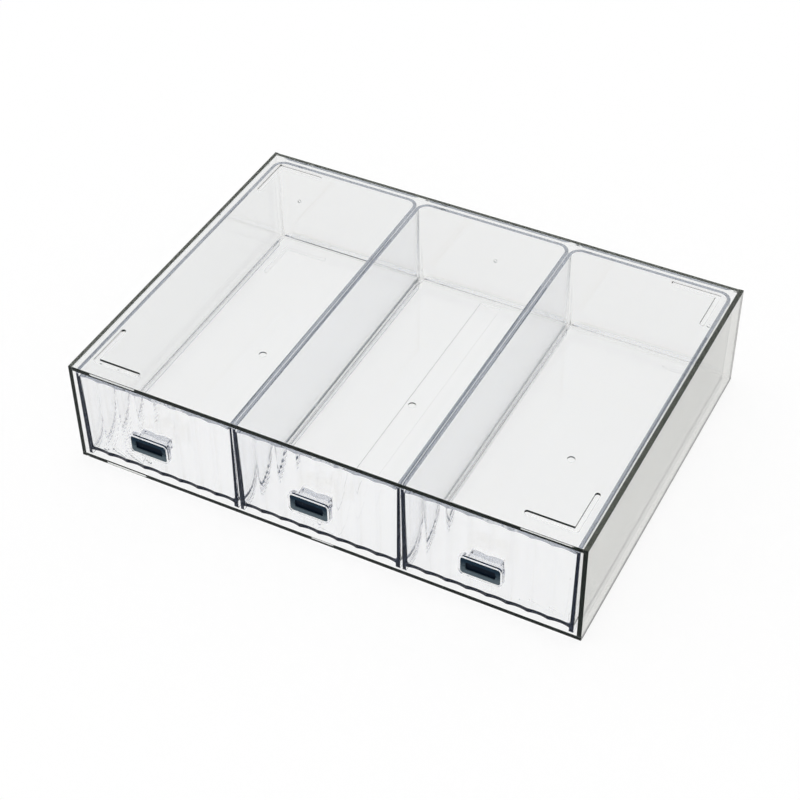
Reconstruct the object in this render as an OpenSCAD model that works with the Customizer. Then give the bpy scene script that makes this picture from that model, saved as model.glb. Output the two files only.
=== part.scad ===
// Clear desk organizer: a flat-panelled case that holds three sliding drawers side by side.
// Millimetres, +Z up. The origin is on the desk, under the middle of the whole object.
// Drawers slide out along -Y.

/* [Case] */
// Width of the case, left to right
case_w = 320; // [240:1:420]
// Depth of the case, front to back
case_d = 235; // [160:1:320]
// Height of the case from the base's underside to the top, without the feet
case_h = 70; // [50:1:120]
// Thickness of the flat panels
panel_t = 2.7; // [2:0.1:5]
// Radius on the upper outer edges of the case
case_edge_r = 0.5; // [0.2:0.1:1.5]
// Width of the shallow channel along the middle of the base
channel_w = 14; // [4:1:60]
// Depth of that channel
channel_depth = 0.4; // [0.2:0.1:1.2]
// Distance from the case's front and back to the ends of that channel
channel_inset = 8; // [4:1:60]
// Cement line left between pieces that are bonded face to face
bond_gap = 0.05; // [0.02:0.01:0.1]
// Distance from the back panel's ends to the outer two of its moulding gates
back_gate_inset = 15; // [8:1:60]

/* [Stacking feet and grooves] */
// Distance from the case's sides to the outer edge of the grooves in the top
groove_inset = 10; // [5:0.5:25]
// Length of each leg of an L-shaped groove
groove_leg = 31; // [15:1:50]
// Width of the grooves
groove_w = 3; // [2:0.25:6]
// Depth of the grooves
groove_depth = 1.5; // [0.8:0.1:1.6]
// Height at which the feet hold the base above the desk
foot_h = 1; // [0.5:0.1:3]
// Clearance on each side of a foot in the groove of a unit below
foot_clear = 0.3; // [0.1:0.05:0.6]

/* [Drawer trays] */
// Gap between neighbouring drawers
drawer_gap = 0.3; // [0.2:0.05:3]
// Gap between the outer drawers and the case's sides
side_gap = 1.7; // [0.5:0.1:5]
// Gap between the trays' rims and the case's top
rim_gap = 0.9; // [0.6:0.1:6]
// Running gap between the runners and the base
run_gap = 0.2; // [0.1:0.05:0.6]
// Gap behind a shut drawer
rear_gap = 1; // [0.5:0.1:6]
// Thickness of the trays' walls at the rim
tray_wall = 2.2; // [1.5:0.1:4]
// Distance by which the outside of a wall leans in from the rim to the foot
tray_draft = 0.5; // [0.1:0.1:2]
// Thickness that a wall gains from the rim to the foot
wall_gain = 0.4; // [0.1:0.1:1.5]
// Thickness of the trays' floors
tray_floor = 1.5; // [1.2:0.1:4]
// Height of the runners under the floors
runner_h = 4.3; // [2:0.1:8]
// Outer radius of the trays' rear corners
tray_corner_r = 8; // [5:0.25:12]
// Radius where the floor meets the side walls inside a tray
tray_fillet_r = 2; // [1:0.25:8]
// Radius where the floor meets the rear wall inside a tray
tray_rear_fillet_r = 4.5; // [1:0.25:8]
// Radius on the upright front edges of the trays
tray_edge_r = 0.9; // [0.3:0.1:1.5]
// Radius on the lower front end of the runners
runner_nose_r = 1.8; // [0.5:0.1:2]
// Radius on the lower long edges of the runners
runner_edge_r = 1; // [0.2:0.1:1.5]

/* [Moulding gates] */
// Width of the round dimples in the trays' floors, where the plastic was let in
floor_gate_w = 5; // [2:0.5:12]
// Width of the round dimples in the back panel
back_gate_w = 2.5; // [2:0.5:12]
// Depth of the dimples
gate_depth = 0.8; // [0.1:0.1:1]
// Width of the slope round a dimple's flat bottom
gate_slope = 0.1; // [0.1:0.1:0.8]

/* [Drawer fronts] */
// Thickness of the fronts at their ridges
front_t = 2.6; // [2:0.1:6]
// Number of upright flutes across a front
flute_count = 8; // [4:1:14]
// Depth of the flutes
flute_depth = 0.8; // [0.3:0.1:1.4]
// Width of the flat ridge between flutes
ridge_w = 0.9; // [0.4:0.1:3]
// Drop of the front's upper edge below the tray's rim
front_drop = 1.8; // [0:0.1:3]

/* [Pulls] */
// Width of a pull's plate
pull_w = 26; // [20:0.5:60]
// Height of a pull's plate
pull_h = 14; // [12:0.2:24]
// Thickness of a pull's plate
pull_plate_t = 3; // [2.5:0.1:5]
// Reach of a pull in front of the case
pull_reach = 9; // [7:0.5:20]
// Corner radius of a pull's plate
pull_corner_r = 3.2; // [1:0.1:5]
// Width of the neck between the plate and the front
neck_w = 19; // [10:0.5:22]
// Height of the neck
neck_h = 7.6; // [5:0.2:9]
// Corner radius of the neck
neck_corner_r = 1; // [0.3:0.1:2]
// Clearance around the neck in the front
neck_clear = 0.1; // [0.05:0.05:0.3]
// Width of the clear rim around an inlay
inlay_rim = 1.2; // [1:0.1:3]
// Thickness of an inlay
inlay_t = 1.5; // [1.2:0.1:1.8]
// Depth at which an inlay lies below the pull's face
inlay_set = 0.2; // [0:0.1:0.6]
// Clearance around an inlay
inlay_clear = 0.1; // [0.05:0.05:0.3]
// Corner radius of an inlay
inlay_corner_r = 1.8; // [0.3:0.1:3]
// Width of the inlay's flat edge
inlay_edge = 0.5; // [0.2:0.1:1]
// Width of the sloped border inside that edge
inlay_slope = 2.4; // [0.5:0.1:3]
// Depth to which the border slopes down
inlay_dish = 0.6; // [0.2:0.1:0.9]
// Depth of the finger slot inside the border
slot_depth = 0.4; // [0.1:0.1:0.5]
// Corner radius of the finger slot
slot_corner_r = 1; // [0.2:0.1:2]

/* [Hidden] */
$fn = 64;

case_tint = [0.80, 0.83, 0.79, 0.40];
drawer_tint = [0.79, 0.81, 0.88, 0.40];
inlay_tint = [0.05, 0.09, 0.16];

// Overlap that lets a cutting solid run past the face that it cuts
cut = 1;
// Least difference between a radius and the larger one that limits it
radius_step = 0.1;
// Distance by which a rounding reaches past the leaning face that it meets, so that the two cross
bite = 0.02;

// Case: faces of the panels
case_front = (pull_reach - case_d) / 2;
case_back = case_front + case_d;
base_top = foot_h + panel_t;
case_top = foot_h + case_h;
ceiling = case_top - panel_t;
wall_h = case_top - base_top - bond_gap;
inner_w = case_w - 2 * panel_t;
infill_w = inner_w - 2 * bond_gap;
infill_d = case_d - panel_t - bond_gap;

// Drawers: one tray with its front, at x = 0 and with y = 0 at its face
LEFT = -1;
CENTRE = 0;
RIGHT = 1;
drawer_w = (inner_w - 2 * side_gap - 2 * drawer_gap) / 3;
drawer_pitch = drawer_w + drawer_gap;
tray_d = case_d - panel_t - rear_gap;
tray_h = ceiling - base_top - run_gap - rim_gap;
tray_z = base_top + run_gap;
hollow_w = drawer_w - 2 * tray_wall;
hollow_d = tray_d - tray_wall;
hollow_r = tray_corner_r - tray_wall;
hollow_draft = tray_draft + wall_gain;
fillet_r = min(tray_fillet_r, hollow_r - radius_step);
rear_fillet_r = min(tray_rear_fillet_r, hollow_r - radius_step);
edge_r = min(tray_edge_r, tray_wall - radius_step);
runner_r = min(runner_edge_r, tray_wall / 2 - radius_step);
runner_d = tray_d - tray_corner_r - tray_wall;
floor_top = runner_h + tray_floor;
floor_front = front_t + bond_gap;

// Fronts
front_w = 2 * (inner_x(runner_h) - bond_gap);
front_h = tray_h - front_drop - runner_h;
flute_pitch = front_w / flute_count;
flute_chord = flute_pitch - ridge_w;
flute_r = arc_radius(flute_chord, flute_depth);

// Pulls: centred on their front
pull_z = runner_h + front_h / 2;
pocket_w = pull_w - 2 * inlay_rim;
pocket_h = pull_h - 2 * inlay_rim;
pocket_depth = inlay_t + inlay_set;
inlay_w = pocket_w - 2 * inlay_clear;
inlay_h = pocket_h - 2 * inlay_clear;
dish_w = inlay_w - 2 * inlay_edge;
dish_h = inlay_h - 2 * inlay_edge;
slot_w = dish_w - 2 * inlay_slope;
slot_h = dish_h - 2 * inlay_slope;
slot_r = min(slot_corner_r, slot_h / 2 - radius_step);

// How far a wall with the given draft has leaned in at the height z of a tray
function lean_in(draft, z) = draft * (1 - z / tray_h);

// Half the width of a tray's hollow at the height z
function inner_x(z) = hollow_w / 2 - lean_in(hollow_draft, z);

// Radius of the arc that has the given chord and rise
function arc_radius(chord, rise) = (chord * chord / 4 + rise * rise) / (2 * rise);

// Flat rectangle with round corners, centred
module round_rect(w, h, r) {
    square([w - 2 * r, h], center = true);
    square([w, h - 2 * r], center = true);
    for (sx = [-1, 1], sy = [-1, 1])
        translate([sx * (w / 2 - r), sy * (h / 2 - r)])
            circle(r);
}

// Slab with a round-cornered face that looks along -Y, from y = 0 to y = t
module upright_slab(w, h, r, t) {
    translate([0, t, 0])
        rotate([90, 0, 0])
            linear_extrude(t)
                round_rect(w, h, r);
}

// L-shaped bar with round ends. The middle of its corner is at the origin, its legs run along +X and +Y.
module round_ell(leg, w, h) {
    reach = leg - w;
    linear_extrude(h) {
        translate([0, -w / 2])
            square([reach, w]);
        translate([-w / 2, 0])
            square([w, reach]);
        for (p = [[0, 0], [reach, 0], [0, reach]])
            translate(p)
                circle(w / 2);
    }
}

// Places a child L at one corner of the case.
// sx is -1 for left and 1 for right, sy is -1 for front and 1 for rear.
module at_corner(sx, sy) {
    inset = groove_inset + groove_w / 2;
    translate([sx * (case_w / 2 - inset), (sy < 0 ? case_front + inset : case_back - inset), 0])
        mirror([sx > 0 ? 1 : 0, 0, 0])
            mirror([0, sy > 0 ? 1 : 0, 0])
                children();
}

// Places children at one drawer's slot, on the running gap and with y = 0 in the plane of the case's front
module at_drawer(slot) {
    translate([slot * drawer_pitch, case_front, tray_z])
        children();
}

// Bar along +X from the origin, w deep and h high, whose upper edge at y = 0 is round
module edge_bar(len, w, h) {
    r = case_edge_r;
    rotate([90, 0, 90])
        linear_extrude(len) {
            square([w, h - r]);
            translate([r, 0])
                square([w - r, h]);
            translate([r, h - r])
                circle(r);
        }
}

// Flat bottom panel with a shallow channel along its middle
module base_panel() {
    color(case_tint)
        difference() {
            translate([-case_w / 2, case_front, foot_h])
                cube([case_w, case_d, panel_t]);
            translate([-channel_w / 2, case_front + channel_inset, base_top - channel_depth])
                cube([channel_w, case_d - 2 * channel_inset, channel_depth + cut]);
        }
}

// Upright panel at the left or right, which stands on the base
module side_panel(side) {
    color(case_tint)
        mirror([side < 0 ? 1 : 0, 0, 0])
            translate([case_w / 2, case_front, base_top + bond_gap])
                rotate([0, 0, 90])
                    edge_bar(case_d, panel_t, wall_h);
}

// Upright panel at the rear, between the two side panels, with three gate dimples outside at mid height
module back_panel() {
    gate_x = infill_w / 2 - back_gate_inset;
    color(case_tint)
        translate([0, case_back, base_top + bond_gap])
            difference() {
                translate([-infill_w / 2, 0, 0])
                    mirror([0, 1, 0])
                        edge_bar(infill_w, panel_t, wall_h);
                for (x = [-gate_x, 0, gate_x])
                    translate([x, 0, wall_h / 2])
                        rotate([-90, 0, 0])
                            gate_dimple(back_gate_w);
            }
}

// Flat top panel between the upright panels, with an L-shaped stacking groove at each corner
module top_panel() {
    color(case_tint)
        difference() {
            translate([-infill_w / 2, case_front, ceiling])
                edge_bar(infill_w, infill_d, panel_t);
            for (sx = [-1, 1], sy = [-1, 1])
                translate([0, 0, case_top - groove_depth])
                    at_corner(sx, sy)
                        round_ell(groove_leg, groove_w, groove_depth + cut);
        }
}

// L-shaped foot bonded under the base, which drops into the groove of a unit below
module foot(sx, sy) {
    color(case_tint)
        at_corner(sx, sy)
            round_ell(groove_leg - 2 * foot_clear, groove_w - 2 * foot_clear, foot_h - bond_gap);
}

// Plan from its left side at x = 0 and its face at y = 0, with the two left corners round
module corner_plan(w, d, rear_r) {
    translate([rear_r, 0])
        square([w - rear_r, d]);
    translate([edge_r, 0])
        square([w - edge_r, d - rear_r]);
    translate([0, edge_r])
        square([w, d - rear_r - edge_r]);
    translate([edge_r, edge_r])
        circle(edge_r);
    translate([rear_r, d - rear_r])
        circle(rear_r);
}

// Upright block that is w wide at the height of the rim and whose left side leans in downwards by the draft
module leaning_block(w, d, r, draft) {
    reach = tray_h + 2 * cut;
    translate([-w / 2, 0, tray_h])
        rotate([0, -atan(draft / tray_h), 0])
            translate([0, 0, -reach])
                linear_extrude(2 * reach)
                    corner_plan(w + 2 * cut, d, r);
}

// What two mirrored leaning blocks share: both sides lean in, and both rear corners are round
module drafted_block(w, d, r, draft) {
    intersection() {
        leaning_block(w, d, r, draft);
        mirror([1, 0, 0])
            leaning_block(w, d, r, draft);
    }
}

// Extrudes a section in X and Z from y0 to y1
module along_y(y0, y1) {
    translate([0, y1, 0])
        rotate([90, 0, 0])
            linear_extrude(y1 - y0)
                children();
}

// Extrudes a section in Y and Z from -half to half along X
module along_x(half) {
    translate([-half, 0, 0])
        rotate([90, 0, 90])
            linear_extrude(2 * half)
                children();
}

// Section between the two inner faces of a tray's walls from z0 to z1, with the given room on each side
module between_walls(z0, z1, room = 0) {
    x0 = inner_x(z0) - room;
    x1 = inner_x(z1) - room;
    polygon([[-x0, z0], [x0, z0], [x1, z1], [-x1, z1]]);
}

// Hollow of a tray above its floor, with fillets along the walls
module tray_hollow() {
    top = tray_h + cut;
    front_room = edge_r + cut;
    intersection() {
        translate([0, -front_room, 0])
            drafted_block(hollow_w, hollow_d + front_room, hollow_r, hollow_draft);
        along_y(-cut, hollow_d + cut)
            hollow_section(top);
        along_x(hollow_w / 2 + cut)
            hollow_side(top);
    }
}

// Section across a hollow: flat floor, both lower corners round, wider than the hollow above them
module hollow_section(top) {
    half = hollow_w / 2 + cut;
    z = floor_top + fillet_r;
    x = inner_x(z) - fillet_r + bite;
    translate([-half, z])
        square([2 * half, top - z]);
    translate([-x, floor_top])
        square([2 * x, top - floor_top]);
    for (s = [-1, 1])
        translate([s * x, z])
            circle(fillet_r);
}

// Section along a hollow: its lower rear corner is round, and above that it is longer than the hollow
module hollow_side(top) {
    y = hollow_d - rear_fillet_r + bite;
    z = floor_top + rear_fillet_r;
    translate([-2 * cut, z])
        square([hollow_d + 3 * cut, top - z]);
    translate([-2 * cut, floor_top])
        square([y + 2 * cut, top - floor_top]);
    translate([y, z])
        circle(rear_fillet_r);
}

// Bar along +X from the origin. Cutting it away rounds a lower edge there, whose solid lies at y > 0.
module edge_cut(len, r) {
    rotate([90, 0, 90])
        linear_extrude(len)
            difference() {
                translate([-cut, -cut])
                    square(r + cut);
                translate([r, r])
                    circle(r);
            }
}

// What is cut away to shape the runners: the room between and behind them, and their lower edges
module runner_cuts() {
    outer = drawer_w / 2 - lean_in(tray_draft, runner_r) + bite;
    inner = inner_x(runner_r) - bite;
    along_y(-cut, tray_d)
        between_walls(-cut, runner_h);
    translate([-drawer_w / 2 - cut, runner_d, -cut])
        cube([drawer_w + 2 * cut, tray_d - runner_d + cut, runner_h + cut]);
    translate([-drawer_w / 2 - cut, 0, 0])
        edge_cut(drawer_w + 2 * cut, runner_nose_r);
    for (side = [0, 1])
        mirror([side, 0, 0]) {
            translate([outer, -cut, 0])
                rotate([0, 0, 90])
                    edge_cut(tray_d, runner_r);
            translate([inner, tray_d - cut, 0])
                rotate([0, 0, -90])
                    edge_cut(tray_d, runner_r);
        }
}

// Shallow round dimple that is cut into a face at z = 0 from above, where the plastic was let in
module gate_dimple(w) {
    rise = gate_depth + cut;
    spread = gate_slope * rise / gate_depth;
    bottom_r = w / 2 - gate_slope;
    translate([0, 0, -gate_depth])
        cylinder(r1 = bottom_r, r2 = bottom_r + spread, h = rise);
}

// Drawer tray: floor, two sides that run down as runners as far as the rear corners, and a rear wall.
// Its front end is open for the drawer front.
module drawer_tray(slot) {
    color(drawer_tint)
        at_drawer(slot)
            difference() {
                intersection() {
                    drafted_block(drawer_w, tray_d, tray_corner_r, tray_draft);
                    translate([-drawer_w, -cut, 0])
                        cube([2 * drawer_w, tray_d + 2 * cut, tray_h]);
                }
                tray_hollow();
                runner_cuts();
                along_y(-cut, floor_front)
                    between_walls(runner_h - cut, floor_top + fillet_r + cut, bite);
                translate([0, (floor_front + hollow_d) / 2, floor_top])
                    gate_dimple(floor_gate_w);
            }
}

// Drawer front: an upright fluted plate between the tray's sides, with an opening for the pull's neck
module drawer_front(slot) {
    first_x = (flute_pitch - front_w) / 2;
    color(drawer_tint)
        at_drawer(slot)
            difference() {
                along_y(0, front_t)
                    between_walls(runner_h, runner_h + front_h, bond_gap);
                for (k = [0 : flute_count - 1])
                    translate([first_x + k * flute_pitch, flute_depth - flute_r, runner_h - cut])
                        cylinder(r = flute_r, h = front_h + 2 * cut, $fn = 180);
                translate([0, -cut, pull_z])
                    upright_slab(
                        neck_w + 2 * neck_clear,
                        neck_h + 2 * neck_clear,
                        neck_corner_r + neck_clear,
                        front_t + 2 * cut
                    );
            }
}

// Pull: a round-cornered plate with a pocket in its face, on a neck that goes through the front
module drawer_pull(slot) {
    neck_front = pull_plate_t / 2;
    neck_back = pull_reach + front_t;
    color(drawer_tint)
        at_drawer(slot)
            translate([0, -pull_reach, pull_z])
                difference() {
                    union() {
                        upright_slab(pull_w, pull_h, pull_corner_r, pull_plate_t);
                        translate([0, neck_front, 0])
                            upright_slab(neck_w, neck_h, neck_corner_r, neck_back - neck_front);
                    }
                    translate([0, -cut, 0])
                        upright_slab(pocket_w, pocket_h, inlay_corner_r + inlay_clear, pocket_depth + cut);
                }
}

// Section of an inlay's dish, from y = -cut to the bottom of its slope
module dish_section(w) {
    mouth = w / 2 + cut * inlay_slope / inlay_dish;
    bottom = w / 2 - inlay_slope;
    polygon([[-mouth, -cut], [mouth, -cut], [bottom, inlay_dish], [-bottom, inlay_dish]]);
}

// Dish whose four sides slope down from an inlay's edge to its finger slot
module inlay_dish_cut() {
    intersection() {
        translate([0, 0, -inlay_h])
            linear_extrude(2 * inlay_h)
                dish_section(dish_w);
        translate([-inlay_w, 0, 0])
            rotate([0, 90, 0])
                linear_extrude(2 * inlay_w)
                    rotate(90)
                        mirror([0, 1])
                            dish_section(dish_h);
    }
}

// Dark inlay in a pull's pocket: a flat edge, a border that slopes down, and a finger slot in the middle
module pull_inlay(slot) {
    color(inlay_tint)
        at_drawer(slot)
            translate([0, inlay_set - pull_reach, pull_z])
                difference() {
                    upright_slab(inlay_w, inlay_h, inlay_corner_r, inlay_t - bond_gap);
                    inlay_dish_cut();
                    upright_slab(slot_w, slot_h, slot_r, inlay_dish + slot_depth);
                }
}

base_panel();
side_panel(LEFT);  // left_side_panel
side_panel(RIGHT);  // right_side_panel
back_panel();
top_panel();
foot(-1, -1);  // front_left_foot
foot(1, -1);  // front_right_foot
foot(-1, 1);  // rear_left_foot
foot(1, 1);  // rear_right_foot
drawer_tray(LEFT);  // left_drawer_tray
drawer_front(LEFT);  // left_drawer_front
drawer_pull(LEFT);  // left_drawer_pull
pull_inlay(LEFT);  // left_pull_inlay
drawer_tray(CENTRE);  // centre_drawer_tray
drawer_front(CENTRE);  // centre_drawer_front
drawer_pull(CENTRE);  // centre_drawer_pull
pull_inlay(CENTRE);  // centre_pull_inlay
drawer_tray(RIGHT);  // right_drawer_tray
drawer_front(RIGHT);  // right_drawer_front
drawer_pull(RIGHT);  // right_drawer_pull
pull_inlay(RIGHT);  // right_pull_inlay
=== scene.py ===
from math import radians

import bmesh
import bpy
from mathutils import Matrix, Vector


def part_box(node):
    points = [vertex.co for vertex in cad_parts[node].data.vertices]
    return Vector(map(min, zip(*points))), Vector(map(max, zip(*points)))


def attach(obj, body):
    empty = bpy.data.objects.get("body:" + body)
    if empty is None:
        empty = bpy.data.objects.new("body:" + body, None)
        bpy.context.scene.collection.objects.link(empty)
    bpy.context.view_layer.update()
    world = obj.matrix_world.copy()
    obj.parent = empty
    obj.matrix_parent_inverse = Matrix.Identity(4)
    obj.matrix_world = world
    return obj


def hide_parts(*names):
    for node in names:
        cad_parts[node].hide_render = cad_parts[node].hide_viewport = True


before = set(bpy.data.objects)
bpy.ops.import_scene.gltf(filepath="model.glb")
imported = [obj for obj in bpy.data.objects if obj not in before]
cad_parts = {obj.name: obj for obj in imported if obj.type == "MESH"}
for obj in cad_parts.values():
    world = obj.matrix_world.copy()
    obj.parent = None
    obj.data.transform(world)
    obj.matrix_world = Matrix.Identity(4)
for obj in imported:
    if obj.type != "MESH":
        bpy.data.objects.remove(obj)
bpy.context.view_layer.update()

MM = 0.001
DRAWERS = ("left", "centre", "right")
# The foot that shows in the photo as a break in the base's front edge
FUSED_FEET = ("front_left_foot",)

# Thickness of the trays' floors, and so the height of the bond along a front's lower edge
TRAY_FLOOR = 1.5 * MM
# Reach of a bridge into the solids on both sides of a cement line
GRIP = 0.25 * MM
# Distance that a bridge keeps from the outer faces, so that it doesn't show
INSET = 0.01 * MM
# Distance within which the corners of a CAD mesh are welded
WELD = 0.001 * MM
# Rise that takes a foot across its cement line into the base
FOOT_RISE = 0.1 * MM
# Faces that meet at a smaller angle than this are shaded as one
CREASE = radians(12)

# Width of an inlay's border, from its outline to the finger slot
INLAY_BORDER = 2.5 * MM
# Depths behind an inlay's face between which the border's colour turns into the slot's painted
# shade
SLOT_START = 0.5 * MM
SLOT_END = 0.7 * MM
# Colours of an inlay: border at the foot, lighter by painted light, border at the head, slot,
# nearly black by painted shade, and grain
NAVY_FOOT_PAINTED_LIGHT = (0.09, 0.122, 0.142)
NAVY_HEAD = (0.006, 0.021, 0.038)
NAVY_SLOT_PAINTED_SHADE = (0.001, 0.005, 0.012)
NAVY_GRAIN = (0.004, 0.008, 0.018)

# Colours of the clear plastics: plain, smeared, of reflections and of the tint in their depth; the
# grey plain and smeared ones are painted shade on the right side panel, and the walls' tint is
# partly painted shade
WHITE = (1.0, 1.0, 1.0)
PAINTED_SHADE_PLAIN = (0.81, 0.805, 0.78)
CASE_SMEAR = (0.993, 0.995, 0.993)
PAINTED_SHADE_SMEAR = (0.72, 0.715, 0.69)
DRAWER_SMEAR = (0.996, 0.9965, 0.9985)
CASE_GLEAM = (0.05, 0.15, 0.1)
DRAWER_GLEAM = (0.0, 0.1, 0.35)
CASE_DEPTH = (0.0, 0.03, 0.0)
WALL_TINT_AND_SHADE = (0.03, 0.05, 0.0)
DRAWER_DEPTH = (0.0, 0.05, 0.17)
# Strength of that tint, per metre; in the walls it is partly the plastic's own and partly painted
# shade, for the shadow under their lower edges
CASE_DENSITY = 15.0
WALL_TINT_AND_SHADE_DENSITY = 28.0
DRAWER_DENSITY = 12.5
# Refraction of the plastics, and a weaker one for the feet, which hardly show in the photo
PLASTIC_IOR = 1.5
PAD_IOR = 1.15

# The floor's reach on each side, its depth below the feet and how much of it is plain white
FLOOR_REACH = 20.0
FLOOR_DEPTH = 0.2 * MM
FLOOR_WHITE = 0.8


def new_material(name):
    """An empty node material with its output node."""
    mat = bpy.data.materials.new(name)
    mat.use_nodes = True
    mat.node_tree.nodes.clear()
    out = mat.node_tree.nodes.new("ShaderNodeOutputMaterial")
    return mat, mat.node_tree.nodes, mat.node_tree.links, out


def noise(nodes, links, scale, detail=3.0, rough=0.5):
    """Noise over the object's own coordinates. Returns its value socket."""
    coord = nodes.new("ShaderNodeTexCoord")
    tex = nodes.new("ShaderNodeTexNoise")
    tex.inputs["Scale"].default_value = scale
    tex.inputs["Detail"].default_value = detail
    tex.inputs["Roughness"].default_value = rough
    links.new(coord.outputs["Object"], tex.inputs["Vector"])
    return tex.outputs["Fac"]


def spread(nodes, links, value, low, high, start=0.0, end=1.0):
    """Maps a value from start..end to low..high."""
    node = nodes.new("ShaderNodeMapRange")
    node.inputs["From Min"].default_value = start
    node.inputs["From Max"].default_value = end
    node.inputs["To Min"].default_value = low
    node.inputs["To Max"].default_value = high
    links.new(value, node.inputs["Value"])
    return node.outputs["Result"]


def either(nodes, links, first, second):
    """The larger of two sockets' values."""
    node = nodes.new("ShaderNodeMath")
    node.operation = "MAXIMUM"
    links.new(first, node.inputs[0])
    links.new(second, node.inputs[1])
    return node.outputs["Value"]


def blend(nodes, links, share, first, second):
    """Mixes two colours, each a colour or a socket."""
    mix = nodes.new("ShaderNodeMix")
    mix.data_type = "RGBA"
    links.new(share, mix.inputs[0])
    for socket, colour in ((mix.inputs[6], first), (mix.inputs[7], second)):
        if isinstance(colour, tuple):
            socket.default_value = (*colour, 1)
        else:
            links.new(colour, socket)
    return mix.outputs[2]


def clear_plastic(name, plain, smeared, gleam, depth, density, ior=PLASTIC_IOR):
    """Clear moulded plastic: smooth, with faint smears, and a tint that gathers in its depth; some
    colours and tints given to it are painted shade.
    """
    mat, nodes, links, out = new_material(name)
    shader = nodes.new("ShaderNodeBsdfPrincipled")
    shader.inputs["Transmission Weight"].default_value = 1.0
    shader.inputs["IOR"].default_value = ior
    shader.inputs["Specular Tint"].default_value = (*gleam, 1)
    ramp = nodes.new("ShaderNodeValToRGB")
    ramp.color_ramp.elements[0].color = (*smeared, 1)
    ramp.color_ramp.elements[1].color = (*plain, 1)
    links.new(noise(nodes, links, scale=9.0), ramp.inputs["Fac"])
    links.new(ramp.outputs["Color"], shader.inputs["Base Color"])
    smears = noise(nodes, links, scale=26.0, detail=6.0, rough=0.6)
    rough = spread(nodes, links, smears, low=0.0, high=0.02, start=0.5, end=0.8)
    links.new(rough, shader.inputs["Roughness"])
    links.new(shader.outputs["BSDF"], out.inputs["Surface"])
    volume = nodes.new("ShaderNodeVolumeAbsorption")
    volume.inputs["Color"].default_value = (*depth, 1)
    volume.inputs["Density"].default_value = density
    links.new(volume.outputs["Volume"], out.inputs["Volume"])
    return mat


def navy_plastic(name, low, high):
    """Dark satin plastic of the inlays, greyer on the lower border by painted light and nearly
    black in the slot by painted shade.
    """
    mat, nodes, links, out = new_material(name)
    shader = nodes.new("ShaderNodeBsdfPrincipled")
    shader.inputs["Specular IOR Level"].default_value = 0.04
    coord = nodes.new("ShaderNodeTexCoord")
    split = nodes.new("ShaderNodeSeparateXYZ")
    links.new(coord.outputs["Object"], split.inputs["Vector"])
    # Painted light: the border is lighter at its foot and darkens towards its head
    foot = low.z + INLAY_BORDER
    head = high.z - INLAY_BORDER
    painted_light_fade = spread(nodes, links, split.outputs["Z"], low=0.0, high=1.0, start=foot, end=head)
    border = blend(nodes, links, painted_light_fade, NAVY_FOOT_PAINTED_LIGHT, NAVY_HEAD)
    # Painted shade: deeper in the finger slot the colour turns nearly black
    near = low.y + SLOT_START
    far = low.y + SLOT_END
    painted_shade_depth = spread(nodes, links, split.outputs["Y"], low=0.0, high=1.0, start=near, end=far)
    slot_painted_shade = blend(nodes, links, painted_shade_depth, border, NAVY_SLOT_PAINTED_SHADE)
    grain = spread(nodes, links, noise(nodes, links, scale=900.0), low=0.0, high=0.25)
    links.new(blend(nodes, links, grain, slot_painted_shade, NAVY_GRAIN), shader.inputs["Base Color"])
    rough = spread(nodes, links, noise(nodes, links, scale=300.0), low=0.3, high=0.5)
    links.new(rough, shader.inputs["Roughness"])
    links.new(shader.outputs["BSDF"], out.inputs["Surface"])
    return mat


case_clear = clear_plastic("case_clear", WHITE, CASE_SMEAR, CASE_GLEAM, CASE_DEPTH, CASE_DENSITY)
# The walls' denser tint is partly the plastic's own and partly painted shade, for the shadow under
# their lower edges
wall_clear_tint_and_shade = clear_plastic("wall_clear_tint_and_shade", WHITE, CASE_SMEAR, CASE_GLEAM, WALL_TINT_AND_SHADE, WALL_TINT_AND_SHADE_DENSITY)
# Painted shade: the right side panel's colours are grey, so that this side of the case renders
# darker
painted_shade_clear = clear_plastic(
    "painted_shade_clear", PAINTED_SHADE_PLAIN, PAINTED_SHADE_SMEAR, CASE_GLEAM, WALL_TINT_AND_SHADE, WALL_TINT_AND_SHADE_DENSITY
)
drawer_clear = clear_plastic(
    "drawer_clear", WHITE, DRAWER_SMEAR, DRAWER_GLEAM, DRAWER_DEPTH, DRAWER_DENSITY
)
pad_clear = clear_plastic(
    "pad_clear", WHITE, CASE_SMEAR, CASE_GLEAM, CASE_DEPTH, CASE_DENSITY, PAD_IOR
)
inlay_navy = navy_plastic("inlay_navy", *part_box("centre_pull_inlay"))

FINISH = {
    "base_panel": case_clear,
    "top_panel": case_clear,
    "left_side_panel": wall_clear_tint_and_shade,
    # Painted shade on the right side panel
    "right_side_panel": painted_shade_clear,
    "back_panel": wall_clear_tint_and_shade,
}


def finish_of(name):
    """The material that a CAD node takes."""
    if name.endswith("_inlay"):
        return inlay_navy
    if name.endswith("_foot"):
        return pad_clear
    return FINISH.get(name, drawer_clear)


def dress(mesh, material):
    """Gives a mesh one material in place of those that it has."""
    mesh.materials.clear()
    mesh.materials.append(material)


for name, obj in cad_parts.items():
    dress(obj.data, finish_of(name))


def link(obj):
    """Puts an object in the scene."""
    bpy.context.scene.collection.objects.link(obj)
    return obj


def welded_copy(node):
    """A copy of a CAD node's solid with its corners welded, for joining."""
    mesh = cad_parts[node].data.copy()
    shape = bmesh.new()
    shape.from_mesh(mesh)
    bmesh.ops.remove_doubles(shape, verts=shape.verts, dist=WELD)
    shape.to_mesh(mesh)
    shape.free()
    return link(bpy.data.objects.new(node + "_copy", mesh))


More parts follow.
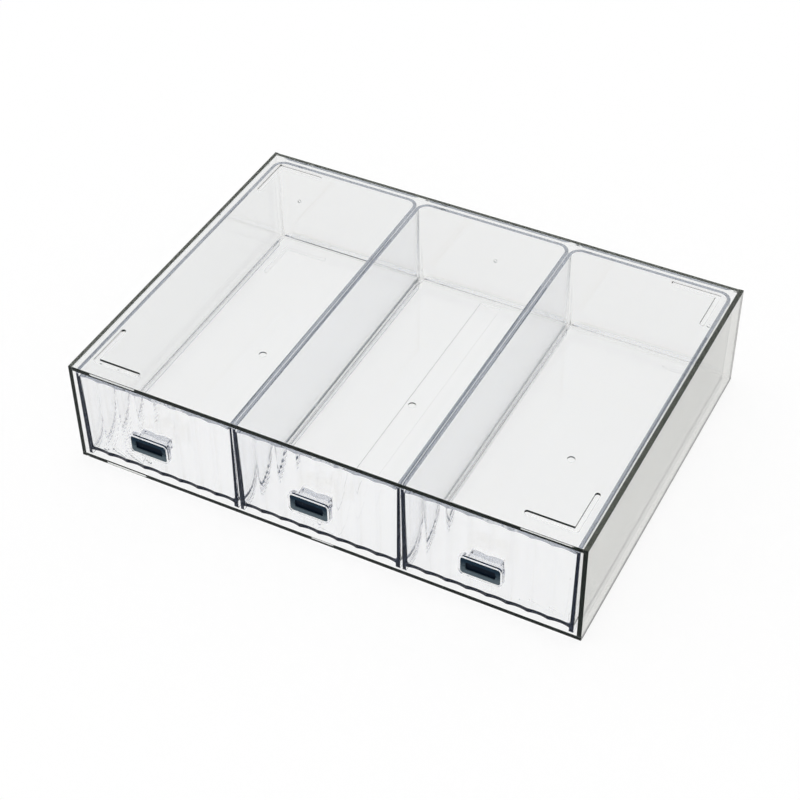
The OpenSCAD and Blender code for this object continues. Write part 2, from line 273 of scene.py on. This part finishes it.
def bridge(low, high, lean=0.0):
    """A box that fills a cement line between two solids. Its top lies further along X by lean."""
    mesh = bpy.data.meshes.new("bridge")
    shape = bmesh.new()
    size = Vector(high) - Vector(low)
    slant = Matrix.Identity(4)
    slant[0][2] = lean / size.z
    middle = Matrix.Translation((Vector(low) + Vector(high)) / 2)
    place = middle @ slant @ Matrix.Diagonal((*size, 1))
    bmesh.ops.create_cube(shape, size=1.0, matrix=place)
    shape.to_mesh(mesh)
    shape.free()
    return link(bpy.data.objects.new("bridge", mesh))


def fused(name, solids, material):
    """One piece of one material from several solids that meet."""
    first = solids[0]
    for solid in solids[1:]:
        join = first.modifiers.new("join", "BOOLEAN")
        join.operation = "UNION"
        join.solver = "EXACT"
        join.object = solid
    graph = bpy.context.evaluated_depsgraph_get()
    mesh = bpy.data.meshes.new_from_object(first.evaluated_get(graph))
    mesh.name = name
    for solid in solids:
        bpy.data.meshes.remove(solid.data)
    mesh.polygons.foreach_set("use_smooth", [True] * len(mesh.polygons))
    mesh.set_sharp_from_angle(angle=CREASE)
    dress(mesh, material)
    piece = link(bpy.data.objects.new(name, mesh))
    shade = piece.modifiers.new("shade", "WEIGHTED_NORMAL")
    shade.mode = "FACE_AREA"
    shade.weight = 100
    shade.keep_sharp = True
    return piece


def drawer_shell(side):
    """A tray and its front as the one clear piece that solvent bonding makes of them."""
    tray = side + "_drawer_tray"
    front = side + "_drawer_front"
    low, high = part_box(front)
    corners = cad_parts[front].data.vertices
    foot = [v.co.x for v in corners if v.co.z < low.z + INSET]
    solids = [welded_copy(tray), welded_copy(front)]
    for top_x, foot_x in ((low.x, min(foot)), (high.x, max(foot))):
        x = (top_x + foot_x) / 2
        start = (x - GRIP, low.y + INSET, low.z + INSET)
        end = (x + GRIP, high.y - INSET, high.z - INSET)
        solids.append(bridge(start, end, top_x - foot_x))
    start = (min(foot) + INSET, high.y - GRIP, low.z + INSET)
    end = (max(foot) - INSET, high.y + GRIP, low.z + TRAY_FLOOR - INSET)
    solids.append(bridge(start, end))
    piece = fused(side + "_drawer_shell", solids, drawer_clear)
    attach(piece, side + "_drawer")
    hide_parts(tray, front)


for side in DRAWERS:
    drawer_shell(side)


def base_shell():
    """The base and the bonded foot that shows in its front edge, as one clear piece."""
    solids = [welded_copy("base_panel")]
    for foot in FUSED_FEET:
        solids.append(welded_copy(foot))
        raised = welded_copy(foot)
        raised.location.z = FOOT_RISE
        solids.append(raised)
    piece = fused("base_shell", solids, case_clear)
    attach(piece, "case")
    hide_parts("base_panel", *FUSED_FEET)


base_shell()


def pale_floor():
    """A wide pale floor, which keeps the object's faint shadow."""
    mesh = bpy.data.meshes.new("floor")
    r = FLOOR_REACH
    mesh.from_pydata([(-r, -r, 0), (r, -r, 0), (r, r, 0), (-r, r, 0)], [], [(0, 1, 2, 3)])
    obj = link(bpy.data.objects.new("floor", mesh))
    obj.location.z = -FLOOR_DEPTH
    mat, nodes, links, out = new_material("pale_floor")
    lit = nodes.new("ShaderNodeBsdfDiffuse")
    lit.inputs["Color"].default_value = (*WHITE, 1)
    white = nodes.new("ShaderNodeEmission")
    white.inputs["Strength"].default_value = 1.0
    path = nodes.new("ShaderNodeLightPath")
    seen = either(nodes, links, path.outputs["Is Camera Ray"], path.outputs["Is Glossy Ray"])
    seen = either(nodes, links, seen, path.outputs["Is Transmission Ray"])
    share = spread(nodes, links, seen, low=0.0, high=FLOOR_WHITE)
    mix = nodes.new("ShaderNodeMixShader")
    links.new(share, mix.inputs["Fac"])
    links.new(lit.outputs["BSDF"], mix.inputs[1])
    links.new(white.outputs["Emission"], mix.inputs[2])
    links.new(mix.outputs["Shader"], out.inputs["Surface"])
    dress(mesh, mat)


def white_world():
    """Even white light from all round."""
    world = bpy.data.worlds.new("studio")
    world.use_nodes = True
    sky = world.node_tree.nodes["Background"]
    sky.inputs["Color"].default_value = (*WHITE, 1)
    sky.inputs["Strength"].default_value = 1.0
    bpy.context.scene.world = world


def photo_camera():
    """The camera of the photograph, fitted to the case's visible corners."""
    cam = bpy.data.cameras.new("camera")
    cam.sensor_width = 36.0
    cam.lens = 83.4776
    cam.clip_start = 0.05
    cam.clip_end = 100.0
    obj = link(bpy.data.objects.new("camera", cam))
    right = Vector((0.88933951, 0.45713752, -0.0100262))
    up = Vector((-0.30186451, 0.60345063, 0.73805498))
    back = Vector((0.34344294, -0.6533549, 0.67466608))
    turn = Matrix((right, up, back)).transposed().to_4x4()
    place = Matrix.Translation((0.375414, -0.726781, 0.765317))
    obj.matrix_world = place @ turn
    bpy.context.scene.camera = obj


pale_floor()
white_world()
photo_camera()

scene = bpy.context.scene
scene.view_settings.view_transform = "Standard"
# Light goes through many clear walls before it reaches the camera
scene.cycles.max_bounces = 64
scene.cycles.transmission_bounces = 64
scene.cycles.glossy_bounces = 30
scene.cycles.diffuse_bounces = 4
scene.cycles.blur_glossy = 0.0
